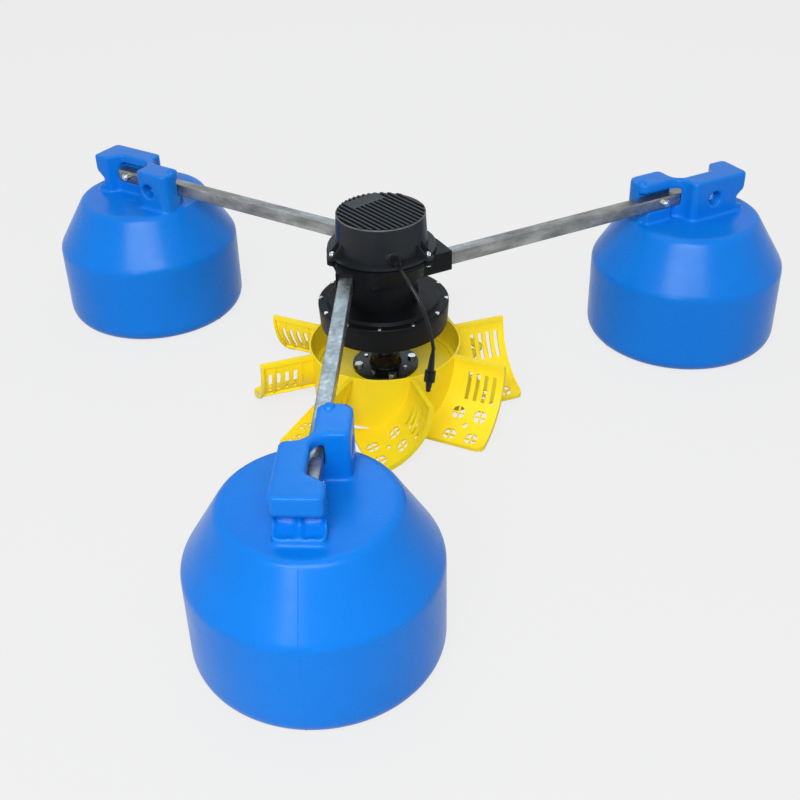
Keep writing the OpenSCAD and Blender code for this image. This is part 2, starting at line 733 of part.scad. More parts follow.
// Direction of the route at a point, and the ring of points around it
function heading(i) =
    let (n = len(cable_route) - 1, d = cable_route[min(i + 1, n)] - cable_route[max(i - 1, 0)])
    d / norm(d);
function ring_points(i) =
    let (t = heading(i), s = cross([0, 1, 0], t), u = s / norm(s), v = cross(t, u))
    [for (j = [0 : cable_sides - 1]) let (a = 360 * j / cable_sides)
        cable_route[i] + cable_d / 2 * (u * cos(a) + v * sin(a))];
module supply_cable() color(rubber_black) in_gland_frame() {
    n = len(cable_route);
    points = [for (i = [0 : n - 1]) each ring_points(i)];
    sides = [for (i = [0 : n - 2]) for (j = [0 : cable_sides - 1])
        let (a = i * cable_sides, b = (j + 1) % cable_sides)
        [a + j, a + b, a + cable_sides + b, a + cable_sides + j]];
    first = [for (j = [0 : cable_sides - 1]) cable_sides - 1 - j];
    last = [for (j = [0 : cable_sides - 1]) (n - 1) * cable_sides + j];
    polyhedron(points, concat(sides, [first, last]), convexity = 6);
}
module on_connector() in_gland_frame() translate(cable_end)
    rotate([0, connector_tilt, connector_heading]) children();
spigot_r = collar_r - 4;
spigot_step = 1;
nose_end_r = 5;
groove_r = 1.2;
groove_n = 12;
module connector_boot() color(black) on_connector() {
    cylinder(r1 = cable_d / 2 + spigot_step, r2 = spigot_r, h = boot_l);
}
module connector_collar() color(black) on_connector() translate([0, 0, boot_l + seat_clear]) difference() {
    cylinder(r = collar_r, h = collar_l - 2 * seat_clear);
    translate([0, 0, -cut]) cylinder(r = spigot_r - spigot_step, h = collar_l + 2 * cut);
    around(groove_n, collar_r) translate([0, 0, -cut]) cylinder(r = groove_r, h = collar_l + 2 * cut);
}
module connector_nose() color(black) on_connector() translate([0, 0, boot_l]) {
    cylinder(r = spigot_r - spigot_step - seat_clear, h = collar_l);
    translate([0, 0, collar_l]) cylinder(r1 = spigot_r, r2 = nose_end_r, h = nose_l);
}

// Motor
module lid_screw_places() in_motor() around(lid_screw_n, lid_screw_pitch_r) children();
module motor_lid() color(black) difference() {
    union() {
        on_axis() rotate_extrude($fn = 128) polygon([[0, lid_base_z], [drum_r, lid_base_z],
            [drum_r, lid_top_z - lid_chamfer], [drum_r - lid_chamfer, lid_top_z], [lid_plateau_r, lid_top_z],
            [lid_plateau_r - lid_plateau_h, neck_base_z], [0, neck_base_z]]);
        on_axis() translate([0, 0, upper_bearing_z]) cylinder(r = bearing_boss_r, h = bearing_w + lid_cap_t);
    }
    on_axis() translate([0, 0, upper_bearing_z - cut])
        cylinder(r = bearing_r + seat_clear, h = bearing_w + 2 * cut);
    lid_screw_places() translate([0, 0, lid_base_z - cut]) rod(screw_d + hole_clear, lid_t + 2 * cut);
    neck_bolt_places() translate([0, 0, lid_base_z - cut])
        rod(bolt_d + hole_clear, lid_t + lid_plateau_h + 2 * cut);
    lead_duct() translate([0, 0, lid_base_z - cut]) cylinder(r = lid_duct_r, h = 2 * lid_t + lid_plateau_h);
}
module lid_gasket() color(rubber_black) difference() {
    on_axis() ring(drum_r - 1, stator_r, drum_top_z, lid_gasket_t);
    lid_screw_places() translate([0, 0, drum_top_z - cut]) rod(screw_d + hole_clear, lid_gasket_t + 2 * cut);
}
module lid_screws() color(steel) lid_screw_places() {
    translate([0, 0, lid_top_z]) screw_head();
    translate([0, 0, drum_top_z - lid_screw_grip]) rod(screw_d, lid_top_z - drum_top_z + lid_screw_grip);
}
module motor_housing() color(black) difference() {
    on_axis() rotate_extrude($fn = 128) polygon(concat([[0, nose_base_z], [bearing_boss_r, nose_base_z],
        [bearing_boss_r + nose_draft, drum_base_z]],
        arc(drum_r - drum_draft - drum_fillet, drum_base_z + drum_fillet, drum_fillet, 270, 360),
        [[drum_r, drum_top_z], [0, drum_top_z]]));
    on_axis() difference() {
        translate([0, 0, drum_inside_z]) cylinder(r = stator_r + seat_clear, h = drum_h);
        translate([0, 0, drum_inside_z - cut]) cylinder(r = bearing_boss_r, h = bearing_boss_h + cut);
    }
    on_axis() translate([0, 0, lower_bearing_z]) cylinder(r = bearing_r + seat_clear, h = drum_h);
    on_axis() translate([0, 0, nose_base_z - cut]) cylinder(r = shaft_bore_r, h = drum_h);
    on_axis() translate([0, 0, seal_z]) cylinder(r = seal_r + seat_clear, h = seal_w + cut);
    lid_screw_places() translate([0, 0, drum_top_z - lid_screw_grip - cut])
        rod(screw_d + hole_clear, lid_screw_grip + 2 * cut);
}
module tooth() translate([stator_bore_r - cut, -tooth_w / 2, 0])
    cube([stator_r - yoke_t / 2 - stator_bore_r, tooth_w, stack_h]);
module stator_core() color(dark_steel) on_axis() difference() {
    union() {
        ring(stator_r, stator_r - yoke_t, stack_base_z, stack_h);
        translate([0, 0, stack_base_z]) around(tooth_n, 0) tooth();
    }
    translate([0, 0, stack_base_z - cut]) cylinder(r = stator_bore_r, h = stack_h + 2 * cut);
}
module stator_coils() color(copper) on_axis() around(tooth_n, stator_bore_r + coil_inset) difference() {
    coil_l = stator_r - yoke_t - stator_bore_r - 2 * coil_inset;
    translate([0, -tooth_w / 2 - coil_t, stack_base_z - coil_t])
        cube([coil_l, tooth_w + 2 * coil_t, stack_h + 2 * coil_t]);
    translate([-cut, -tooth_w / 2 - seat_clear, stack_base_z - seat_clear])
        cube([coil_l + 2 * cut, tooth_w + 2 * seat_clear, stack_h + 2 * seat_clear]);
}
module motor_leads() color(lead_red) for (i = [-1 : 1]) lead_duct() translate([0, i * lead_gap, 0]) {
    run_z = stack_top_z + coil_t + lead_r + seat_clear;
    translate([0, 0, run_z]) rotate([0, 90, 0])
        cylinder(r = lead_r, h = stator_bore_r + lead_reach - lead_duct_x);
    translate([0, 0, run_z]) sphere(lead_r);
    translate([0, 0, run_z]) cylinder(r = lead_r, h = board_z - run_z - seat_clear);
}

// Bearings and seal
module outer_race(z) color(steel) on_axis() ring(bearing_r, bearing_r - race_t, z, bearing_w);
module inner_race(z) color(steel) on_axis() ring(shaft_r + race_t, shaft_r, z, bearing_w);
module balls(z) color(steel) on_axis() translate([0, 0, z + bearing_w / 2])
    around(ball_n, ball_pitch_r) sphere(ball_r);
module shaft_seal() color(rubber_black) on_axis() ring(seal_r, shaft_r + run_clear, seal_z, seal_w);

// Rotor
module drive_shaft() color(dark_steel) on_axis() difference() {
    translate([0, 0, shaft_base_z]) cylinder(r = shaft_r, h = shaft_top_z - shaft_base_z);
    translate([0, 0, shaft_base_z - cut]) rod(shaft_bolt_d + hole_clear, shaft_bolt_l);
    translate([shaft_r - key_h / 2, -key_w / 2, stack_base_z]) cube([key_h, key_w, stack_h]);
}
module rotor_core() color(dark_steel) on_axis() difference() {
    translate([0, 0, stack_base_z]) cylinder(r = rotor_r, h = stack_h);
    translate([0, 0, stack_base_z - cut]) cylinder(r = shaft_r, h = stack_h + 2 * cut);
    translate([0, -key_w / 2, stack_base_z - cut]) cube([shaft_r + key_h / 2, key_w, stack_h + 2 * cut]);
    translate([0, 0, stack_base_z - cut]) around(rotor_hole_n, (shaft_r + rotor_r) / 2, 30)
        cylinder(r = rotor_hole_r, h = stack_h + 2 * cut);
}
module rotor_magnets() color(magnet_grey) on_axis() translate([0, 0, stack_base_z]) intersection() {
    difference() {
        cylinder(r = magnet_r, h = stack_h);
        translate([0, 0, -cut]) cylinder(r = rotor_r, h = stack_h + 2 * cut);
    }
    magnet_w = magnet_fill * 2 * PI * rotor_r / magnet_n;
    around(magnet_n, 0) translate([0, -magnet_w / 2, 0]) cube([2 * rotor_r, magnet_w, stack_h]);
}
module rotor_key() color(steel) on_axis()
    translate([shaft_r - key_h / 2, -key_w / 2, stack_base_z]) cube([key_h, key_w, stack_h]);

// Hub
module hub_bolt_places() on_axis() around(4, hub_bolt_pitch_r, blade_phase - 50) children();
module hub_screw_places() on_axis() around(4, hub_screw_pitch_r, blade_phase - 5) children();
module hub_plate() color(black) difference() {
    on_axis() union() {
        translate([0, 0, floor_top_z]) cylinder(r = hub_r, h = hub_t);
        translate([0, 0, hub_top_z]) cylinder(r1 = boss_r + boss_flare, r2 = boss_r, h = boss_h);
    }
    on_axis() translate([0, 0, floor_top_z - cut]) cylinder(r = shaft_r, h = hub_t + boss_h + 2 * cut);
    hub_bolt_places() translate([0, 0, floor_top_z - cut]) rod(hub_bolt_d + hole_clear, hub_t + 2 * cut);
    hub_screw_places() translate([0, 0, floor_top_z - cut]) rod(screw_d + hole_clear, hub_t + 2 * cut);
}
module hub_bolts() color(steel) hub_bolt_places() {
    tail = nut_h(hub_bolt_d) + thread_end;
    translate([0, 0, hub_top_z]) hex(head_af(hub_bolt_d), head_h(hub_bolt_d));
    translate([0, 0, floor_base_z - tail]) rod(hub_bolt_d, hub_t + bowl_floor_t + tail);
}
module hub_nuts() color(steel) hub_bolt_places()
    translate([0, 0, floor_base_z - nut_h(hub_bolt_d)]) difference() {
        hex(head_af(hub_bolt_d), nut_h(hub_bolt_d));
        translate([0, 0, -cut]) rod(hub_bolt_d + hole_clear / 2, nut_h(hub_bolt_d) + 2 * cut);
    }
module hub_screws() color(steel) hub_screw_places() {
    translate([0, 0, hub_top_z]) screw_head();
    translate([0, 0, floor_base_z]) rod(screw_d, hub_t + bowl_floor_t);
}
module shaft_washer() color(steel) on_axis()
    ring(washer_r, (shaft_bolt_d + hole_clear) / 2, floor_base_z - washer_t, washer_t);
module shaft_bolt() color(steel) on_axis() {
    seat_z = floor_base_z - washer_t;
    translate([0, 0, seat_z - head_h(shaft_bolt_d)]) hex(head_af(shaft_bolt_d), head_h(shaft_bolt_d));
    translate([0, 0, seat_z]) rod(shaft_bolt_d, shaft_bolt_l);
}

// Impeller
function bowl_wall_r(z) = bowl_base_r + (bowl_r - bowl_base_r) * (z - bowl_base_z) / bowl_h;
module impeller_bowl() color(yellow) difference() {
    on_axis() rotate_extrude($fn = 128) polygon([[floor_hole_r, floor_base_z],
        [bowl_wall_r(floor_base_z) - bowl_wall, floor_base_z], [bowl_base_r - bowl_wall, bowl_base_z],
        [bowl_base_r, bowl_base_z], [bowl_r, rim_z], [bowl_r - bowl_wall, rim_z],
        [bowl_wall_r(floor_top_z + step_h) - bowl_wall, floor_top_z + step_h], [step_r, floor_top_z + step_h],
        [step_r, floor_top_z], [floor_hole_r, floor_top_z]]);
    hub_bolt_places() translate([0, 0, floor_base_z - cut])
        rod(hub_bolt_d + hole_clear, bowl_floor_t + 2 * cut);
    hub_screw_places() translate([0, 0, floor_base_z - cut])
        rod(screw_d + hole_clear, bowl_floor_t + 2 * cut);
}
// Section of the scoop between two radii and two angles, as a sheet of one length along the blade
module scoop_band(from, to, r0, r1, along, length) translate([along, -scoop_r, scoop_z]) rotate([90, 0, 90])
    linear_extrude(length) intersection() {
        difference() {
            circle(r1, $fn = 128);
            circle(r0, $fn = 128);
        }
        polygon([[0, 0], 2 * r1 * [cos(from), -sin(from)],
            2 * r1 * [cos((from + to) / 2), -sin((from + to) / 2)], 2 * r1 * [cos(to), -sin(to)]]);
    }
module through_scoop(along, angle) translate([along, -scoop_r, scoop_z]) rotate([-90 - angle, 0, 0])
    translate([0, 0, scoop_r - 2 * rib_h]) linear_extrude(4 * rib_h) children();
module petals() difference() {
    circle(d = petal_d);
    square([petal_d, petal_bar], center = true);
    square([petal_bar, petal_d], center = true);
}
module blade(k) color(yellow) on_axis() rotate(blade_phase + 45 * k) difference() {
    root = bowl_base_r - scoop_r / 2;
    length = blade_tip_r - root;
    back = scoop_r + scoop_t;
    union() {
        scoop_band(0, scoop_angle, scoop_r, back, root, length);
        // Bar along the upper edge, rim at the tip and ribs on the back
        translate([root, -rim_inset, scoop_z - rim_t]) cube([length, scoop_t + rib_h, rim_t + bar_rise]);
        scoop_band(0, scoop_angle, scoop_r - rim_inset, back + rib_h, blade_tip_r - rim_t, rim_t);
        scoop_band(scoop_angle - edge_rim_angle, scoop_angle, scoop_r - rim_inset, back + rib_h / 2,
            root, length);
        scoop_band(back_rib_angle - rib_half_angle, back_rib_angle + rib_half_angle,
            scoop_r, back + rib_h, root, length);
        for (along = back_rib_along)
            scoop_band(0, scoop_angle, scoop_r, back + rib_h / 2, along - rib_t / 2, rib_t);
    }
    for (i = [0 : slot_n - 1])
        scoop_band(slot_from, slot_to, scoop_r - 2 * rib_h, back + 2 * rib_h,
            slot_first + i * slot_pitch - slot_w / 2, slot_w);
    for (along = petal_along) for (angle = petal_angles) through_scoop(along, angle) petals();
    through_scoop(diamond_along, diamond_angle) rotate(45) square(diamond_w, center = true);
    // Rounded lower corner at the tip
    edge_y = -scoop_r * (1 - cos(scoop_angle));
    translate([blade_tip_r - tip_corner_r, edge_y + tip_corner_r, 0]) difference() {
        translate([0, -2 * tip_corner_r, 0]) cube([2 * tip_corner_r, 2 * tip_corner_r, scoop_r / 2]);
        translate([0, 0, -cut]) cylinder(r = tip_corner_r, h = scoop_r);
    }
    // Seat against the bowl
    rotate(-blade_phase - 45 * k) translate([0, 0, bowl_base_z - bowl_h])
        cylinder(r1 = bowl_wall_r(bowl_base_z - bowl_h) + seat_clear,
            r2 = bowl_wall_r(rim_z + bowl_h) + seat_clear, h = 3 * bowl_h);
}

float_body(0);  // float_front
float_body(1);  // float_right
float_body(2);  // float_left
arm(0);  // arm_front
arm(1);  // arm_right
arm(2);  // arm_left
float_bolts();
float_nuts();
tripod_bracket();
socket_screws();
neck_bolts();
controller_cover();
cover_gasket();
cover_bolts();
cover_nuts();
control_board();
board_parts();
board_standoffs();
board_screws();
gland_body();
gland_nut();
supply_cable();
connector_boot();
connector_collar();
connector_nose();
motor_lid();
motor_housing();
lid_gasket();
lid_screws();
stator_core();
stator_coils();
motor_leads();
outer_race(upper_bearing_z);  // upper_outer_race
inner_race(upper_bearing_z);  // upper_inner_race
balls(upper_bearing_z);  // upper_balls
outer_race(lower_bearing_z);  // lower_outer_race
inner_race(lower_bearing_z);  // lower_inner_race
balls(lower_bearing_z);  // lower_balls
shaft_seal();
drive_shaft();
rotor_core();
rotor_magnets();
rotor_key();
hub_plate();
hub_bolts();
hub_nuts();
hub_screws();
shaft_washer();
shaft_bolt();
impeller_bowl();
blade(0);  // blade_1
blade(1);  // blade_2
blade(2);  // blade_3
blade(3);  // blade_4
blade(4);  // blade_5
blade(5);  // blade_6
blade(6);  // blade_7
blade(7);  // blade_8
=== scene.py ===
"""Surge aerator on three floats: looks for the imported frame, in metres, in the part's own frame."""
import json
import math

import bmesh
import bpy
from mathutils import Matrix, Vector


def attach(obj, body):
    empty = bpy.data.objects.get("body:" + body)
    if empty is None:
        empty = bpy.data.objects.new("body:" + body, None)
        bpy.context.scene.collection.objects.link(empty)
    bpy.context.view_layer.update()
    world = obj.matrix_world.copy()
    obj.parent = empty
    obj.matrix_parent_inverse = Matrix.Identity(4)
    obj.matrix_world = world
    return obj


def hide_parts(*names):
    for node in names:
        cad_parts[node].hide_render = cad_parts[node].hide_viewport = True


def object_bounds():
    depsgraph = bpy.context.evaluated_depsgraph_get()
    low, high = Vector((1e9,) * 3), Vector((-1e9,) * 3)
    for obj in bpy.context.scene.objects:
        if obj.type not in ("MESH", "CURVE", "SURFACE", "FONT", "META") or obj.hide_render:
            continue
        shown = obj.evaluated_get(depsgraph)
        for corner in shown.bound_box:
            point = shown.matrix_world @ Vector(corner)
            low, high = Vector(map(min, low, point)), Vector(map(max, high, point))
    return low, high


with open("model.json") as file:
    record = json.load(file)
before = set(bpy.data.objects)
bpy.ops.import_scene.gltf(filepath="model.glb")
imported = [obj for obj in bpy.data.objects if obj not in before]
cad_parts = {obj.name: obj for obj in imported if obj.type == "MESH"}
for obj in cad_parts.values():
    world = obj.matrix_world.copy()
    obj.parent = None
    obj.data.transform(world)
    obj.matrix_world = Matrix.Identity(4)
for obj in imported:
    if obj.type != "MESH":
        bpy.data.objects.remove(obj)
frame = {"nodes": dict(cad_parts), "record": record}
cad_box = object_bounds()
nodes = frame["nodes"]
scene = bpy.context.scene
scene.view_settings.view_transform = "Standard"

# Sizes and places that the part's source also holds
AXIS_Y = 0.2025
PITCH_R = 0.81
ARM_OFFSET = 0.078
ARM_SKEW = math.asin(ARM_OFFSET / PITCH_R)
ARM_ANGLES = {"front": math.radians(-90), "right": math.radians(30), "left": math.radians(150)}
BLADE_COUNT = 8
FLOAT_R = 0.232
FLOAT_TOP_R = 0.159
FLOAT_TOP_Z = 0.326
FLOAT_SHOULDER_Z = 0.204
FLOAT_BASE_FILLET = 0.036
HANDLE_TOP_Z = 0.423
HANDLE_OUTER_SIDE = 0.049
HANDLE_END_SIDE = 0.042
NOTCH_WEB = 0.009
COVER_TOP_R = 0.099
COVER_RIM = 0.003
COVER_RIM_DROP = 0.004
FIN_T = 0.005
FIN_PITCH = 0.0124
FIN_TURN = math.radians(-48)
PLATE_ROWS = range(-3, 4)
GLAND_TURN = ARM_SKEW + math.radians(-71)
GLAND_END_R = 0.134
GLAND_Z = 0.417
CABLE_R = 0.004

# Distance under which two vertices are one, and angle over which an edge counts as sharp
WELD = 0.00001
SHARP = math.radians(35)


# Helpers for pieces
def float_matrix(side):
    """Frame of one float: origin on its axis at the ground, X outward along its arm."""
    axis = Matrix.Translation((0, AXIS_Y, 0))
    place = Matrix.Rotation(ARM_ANGLES[side], 4, "Z") @ Matrix.Translation((PITCH_R, 0, 0))
    return axis @ place @ Matrix.Rotation(ARM_SKEW, 4, "Z")


def link(name, data):
    obj = bpy.data.objects.new(name, data)
    scene.collection.objects.link(obj)
    return obj


def mesh_from(bm, name):
    """A mesh with what the builder holds, which is freed."""
    data = bpy.data.meshes.new(name)
    bm.to_mesh(data)
    bm.free()
    return data


def round_turns(steps):
    return [2 * math.pi * i / steps for i in range(steps)]


def tube(name, radius, resolution, line, closed=False):
    """A round bar along a line of points."""
    data = bpy.data.curves.new(name, "CURVE")
    data.dimensions = "3D"
    data.bevel_depth = radius
    data.bevel_resolution = resolution
    data.use_fill_caps = True
    path = data.splines.new("POLY")
    path.points.add(len(line) - 1)
    path.use_cyclic_u = closed
    path.use_smooth = True
    for point, place in zip(path.points, line):
        point.co = (*place, 1)
    return link(name, data)


def cut_by(obj, cutter):
    cut = obj.modifiers.new("cut", "BOOLEAN")
    cut.operation = "DIFFERENCE"
    cut.solver = "EXACT"
    cut.object = cutter


def settle(obj, cutter):
    """Turns the object's modifiers into its mesh and removes the cutter they used."""
    graph = bpy.context.evaluated_depsgraph_get()
    done = bpy.data.meshes.new_from_object(obj.evaluated_get(graph))
    obj.modifiers.clear()
    obj.data = done
    bpy.data.objects.remove(cutter)


# Materials
NOISE_LOW = 0.3
NOISE_HIGH = 0.7


def srgb(r, g, b):
    """Linear colour of an sRGB one."""
    shares = (r / 255, g / 255, b / 255)
    return tuple(c / 12.92 if c <= 0.04045 else ((c + 0.055) / 1.055) ** 2.4 for c in shares)


def shade(colour, factor):
    return tuple(min(1.0, c * factor) for c in colour)


def node_tree(name):
    mat = bpy.data.materials.new(name)
    mat.use_nodes = True
    tree = mat.node_tree
    tree.nodes.clear()
    out = tree.nodes.new("ShaderNodeOutputMaterial")
    shader = tree.nodes.new("ShaderNodeBsdfPrincipled")
    tree.links.new(shader.outputs["BSDF"], out.inputs["Surface"])
    return mat, tree, shader


def noise(tree, scale, detail=4.0, rough=0.55, turn=0.0, stretch=1.0):
    """Noise in the part's frame, drawn out along a level direction."""
    coords = tree.nodes.new("ShaderNodeTexCoord")
    turned = tree.nodes.new("ShaderNodeMapping")
    turned.inputs["Rotation"].default_value = (0, 0, -turn)
    drawn = tree.nodes.new("ShaderNodeMapping")
    drawn.inputs["Scale"].default_value = (1 / stretch, 1, 1)
    tex = tree.nodes.new("ShaderNodeTexNoise")
    tex.inputs["Scale"].default_value = scale
    tex.inputs["Detail"].default_value = detail
    tex.inputs["Roughness"].default_value = rough
    tree.links.new(coords.outputs["Object"], turned.inputs["Vector"])
    tree.links.new(turned.outputs["Vector"], drawn.inputs["Vector"])
    tree.links.new(drawn.outputs["Vector"], tex.inputs["Vector"])
    return tex.outputs["Fac"]


def ramp(tree, value, stops):
    """Colours along a value, one per stop."""
    node = tree.nodes.new("ShaderNodeValToRGB")
    tree.links.new(value, node.inputs["Fac"])
    elements = node.color_ramp.elements
    while len(elements) < len(stops):
        elements.new(0.5)
    for element, (place, colour) in zip(elements, stops):
        element.position = place
        element.color = (*colour, 1)
    return node.outputs["Color"]


def spread(tree, value, low, high):
    """A noise value, brought into the range from low to high."""
    node = tree.nodes.new("ShaderNodeMapRange")
    node.inputs["From Min"].default_value = NOISE_LOW
    node.inputs["From Max"].default_value = NOISE_HIGH
    node.inputs["To Min"].default_value = low
    node.inputs["To Max"].default_value = high
    tree.links.new(value, node.inputs["Value"])
    return node.outputs["Result"]


def bumps(tree, shader, value, strength, distance):
    node = tree.nodes.new("ShaderNodeBump")
    node.inputs["Strength"].default_value = strength
    node.inputs["Distance"].default_value = distance
    tree.links.new(value, node.inputs["Height"])
    tree.links.new(node.outputs["Normal"], shader.inputs["Normal"])


def moulded(name, colour, rough, patch=5.0, vary=0.07, grain=420.0, depth=0.00012, metal=0.0, gloss=0.5):
    """A surface with soft colour patches, uneven roughness in finer patches, and grain."""
    finer = 6
    smoothest = 0.88
    roughest = 1.14
    grain_strength = 0.25
    mat, tree, shader = node_tree(name)
    stops = [(NOISE_LOW, shade(colour, 1 - vary)), (NOISE_HIGH, shade(colour, 1 + vary))]
    tree.links.new(ramp(tree, noise(tree, patch, detail=3.0), stops), shader.inputs["Base Color"])
    uneven = spread(tree, noise(tree, patch * finer), rough * smoothest, rough * roughest)
    tree.links.new(uneven, shader.inputs["Roughness"])
    bumps(tree, shader, noise(tree, grain, detail=2.0), grain_strength, depth)
    shader.inputs["Metallic"].default_value = metal
    shader.inputs["Specular IOR Level"].default_value = gloss
    return mat


def galvanised(side):
    """Dull zinc on one arm: blotches drawn out along the tube, and a fine spangle."""
    tones = [(0.34, srgb(116, 118, 118)), (0.50, srgb(140, 142, 141)), (0.66, srgb(168, 170, 170))]
    smoothest = 0.22
    roughest = 0.42
    spangle_strength = 0.14
    spangle_depth = 0.0003
    mat, tree, shader = node_tree("galvanised_" + side)
    along = ARM_ANGLES[side] + ARM_SKEW
    blotch = noise(tree, 34.0, detail=5.0, rough=0.6, turn=along, stretch=2.6)
    tree.links.new(ramp(tree, blotch, tones), shader.inputs["Base Color"])
    uneven = spread(tree, noise(tree, 90.0), smoothest, roughest)
    tree.links.new(uneven, shader.inputs["Roughness"])
    shader.inputs["Metallic"].default_value = 0.92
    spangle = noise(tree, 170.0, turn=along, stretch=3.0)
    bumps(tree, shader, spangle, spangle_strength, spangle_depth)
    return mat


FINISHES = {
    "float_plastic": dict(colour=srgb(6, 117, 216), rough=0.28, patch=4.0, vary=0.05, grain=36.0,
                          depth=0.0003, gloss=0.18),
    "bright_steel": dict(colour=srgb(214, 217, 219), rough=0.24, patch=60.0, vary=0.08, metal=1.0),
    "core_steel": dict(colour=srgb(110, 112, 114), rough=0.38, patch=40.0, vary=0.08, metal=0.9),
    "magnet_grey": dict(colour=srgb(140, 145, 150), rough=0.35, patch=40.0, vary=0.06, metal=0.8),
    "cast_black": dict(colour=srgb(13, 15, 17), rough=0.4, patch=14.0, vary=0.16, grain=700.0,
                       depth=0.0002, gloss=0.12),
    "cover_black": dict(colour=srgb(30, 33, 36), rough=0.42, patch=14.0, vary=0.14, grain=700.0,
                        depth=0.0001, gloss=0.2),
    # Light grey for the beads on the cover's rim and plate edge: a painted highlight, not the cover's own
    # colour
    "painted_highlight_grey": dict(colour=srgb(84, 88, 92), rough=0.34, patch=60.0, vary=0.2, gloss=0.4),
    "hub_black": dict(colour=srgb(14, 15, 17), rough=0.26, patch=20.0, vary=0.12, grain=500.0,
                      depth=0.00003, gloss=0.35),
    "part_plastic": dict(colour=srgb(14, 15, 17), rough=0.32, patch=40.0, vary=0.1, grain=900.0,
                         depth=0.00005, gloss=0.3),
    "board_green": dict(colour=srgb(30, 92, 58), rough=0.35, patch=60.0, vary=0.12),
    "coil_copper": dict(colour=srgb(184, 112, 58), rough=0.3, patch=80.0, vary=0.14, metal=0.9),
    "lead_red": dict(colour=srgb(150, 44, 38), rough=0.5, patch=60.0, vary=0.08),
    "gasket_rubber": dict(colour=srgb(36, 37, 38), rough=0.7, patch=60.0, vary=0.12),
    "cable_rubber": dict(colour=srgb(9, 9, 11), rough=0.3, patch=60.0, vary=0.12, grain=900.0,
                         depth=0.00005, gloss=0.35),
    "impeller_yellow": dict(colour=srgb(255, 227, 36), rough=0.4, patch=9.0, vary=0.04, grain=480.0,
                            gloss=0.3),
}
MATS = {name: moulded(name, **finish) for name, finish in FINISHES.items()}
SLOT_OF = {row["node"]: row["material_slot"] for row in frame["record"]["subparts"]}
for name, obj in nodes.items():
    used = MATS.get(SLOT_OF[name])
    if SLOT_OF[name] == "galvanised_tube":
        used = galvanised(name.split("_")[1])
    for slot in obj.material_slots:
        slot.material = used


def dress(obj, finish):
    """Gives a piece of the still body its finish and the slot it belongs to."""
    obj.data.materials.clear()
    obj.data.materials.append(MATS[finish])
    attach(obj, "frame")


# Softened edges on the solids that show
CASTING_EDGE = 0.001
FITTING_EDGE = 0.0006
ARM_EDGE = 0.0018
BLADE_EDGE = 0.0008
CASTINGS = ("motor_lid", "motor_housing", "hub_plate", "impeller_bowl")
FITTINGS = ("float_bolts", "float_nuts", "cover_bolts", "cover_nuts", "hub_bolts", "hub_nuts",
            "gland_body", "gland_nut", "connector_collar", "connector_nose")


def soften(name, width, segments=2):
    obj = nodes[name]
    weld = obj.modifiers.new("weld", "WELD")
    weld.merge_threshold = WELD
    bevel = obj.modifiers.new("bevel", "BEVEL")
    bevel.width = width
    bevel.segments = segments
    bevel.limit_method = "ANGLE"
    bevel.angle_limit = SHARP
    obj.modifiers.new("normals", "WEIGHTED_NORMAL")


for name in CASTINGS:
    soften(name, CASTING_EDGE)
for name in FITTINGS:
    soften(name, FITTING_EDGE)
for side in ARM_ANGLES:
    soften("arm_" + side, ARM_EDGE)
for k in range(BLADE_COUNT):
    soften("blade_%d" % (k + 1), BLADE_EDGE, segments=1)

# Floats: the moulded skin, with every edge rounded as blown plastic is
SKIN_VOXEL = 0.0034
SKIN_PASSES = 9
SKIN_FACTOR = 0.5
ARM_CLEARANCE = 0.0005
PANEL_OUTLINE = [(0.088, 0.3466), (0.113, 0.3356), (0.119, 0.3493), (0.088, 0.362)]

# The seams follow the smoothed skin, whose fillets are wider than the solid's
SEAM_SHOULDER_FILLET = 0.045
SEAM_TOP_FILLET = 0.027
SEAM_R = 0.0010
SEAM_SUNK = 0.0006

# Blow pin's stub: radius and height of each ring of it, from the middle of its dimple outward
NUB_PROFILE = [(0.0, 0.0022), (0.0028, 0.0026), (0.0048, 0.0048), (0.0066, 0.0052), (0.0082, 0.0040),
               (0.0094, 0.0016), (0.0112, 0.0002), (0.0120, -0.0020)]
NUB_PLACE = (-0.137, 0.026, HANDLE_TOP_Z)
NUB_STEPS = 24


def islands_of(bm):
    """The mesh's separate pieces, as lists of vertices."""
    seen = set()
    islands = []
    for start in bm.verts:
        if start in seen:
            continue
        group = []
        todo = [start]
        seen.add(start)
        while todo:
            vert = todo.pop()
            group.append(vert)
            for edge in vert.link_edges:
                other = edge.other_vert(vert)
                if other not in seen:
                    seen.add(other)
                    todo.append(other)
        islands.append(group)
    return islands


def height_of(group):
    heights = [vert.co.z for vert in group]
    return max(heights) - min(heights)


def outer_shell(mesh):
    """A welded copy of the mesh without any closed hollow inside it."""
    bm = bmesh.new()
    bm.from_mesh(mesh)
    bmesh.ops.remove_doubles(bm, verts=bm.verts, dist=WELD)
    for group in sorted(islands_of(bm), key=height_of)[:-1]:
        bmesh.ops.delete(bm, geom=group, context="VERTS")
    return mesh_from(bm, mesh.name + "_skin")


def panel_cutter(side):
    """Two prisms that sink the panels beside the rib of the rope notch's lower face."""
    middle = (HANDLE_END_SIDE - HANDLE_OUTER_SIDE) / 2
    width = (HANDLE_END_SIDE + HANDLE_OUTER_SIDE) / 2 - NOTCH_WEB
    bm = bmesh.new()
    for sign in (-1, 1):
        centre = middle + sign * (width + NOTCH_WEB) / 2
        near = [bm.verts.new((x, centre - width / 2, z)) for x, z in PANEL_OUTLINE]
        far = [bm.verts.new((x, centre + width / 2, z)) for x, z in PANEL_OUTLINE]
        bm.faces.new(near)
        bm.faces.new(far)
        for i in range(len(PANEL_OUTLINE)):
            after = (i + 1) % len(PANEL_OUTLINE)
            bm.faces.new((near[i], near[after], far[after], far[i]))
    bmesh.ops.recalc_face_normals(bm, faces=bm.faces)
    data = mesh_from(bm, "panels_" + side)
    data.transform(float_matrix(side))
    return link("panels_" + side, data)


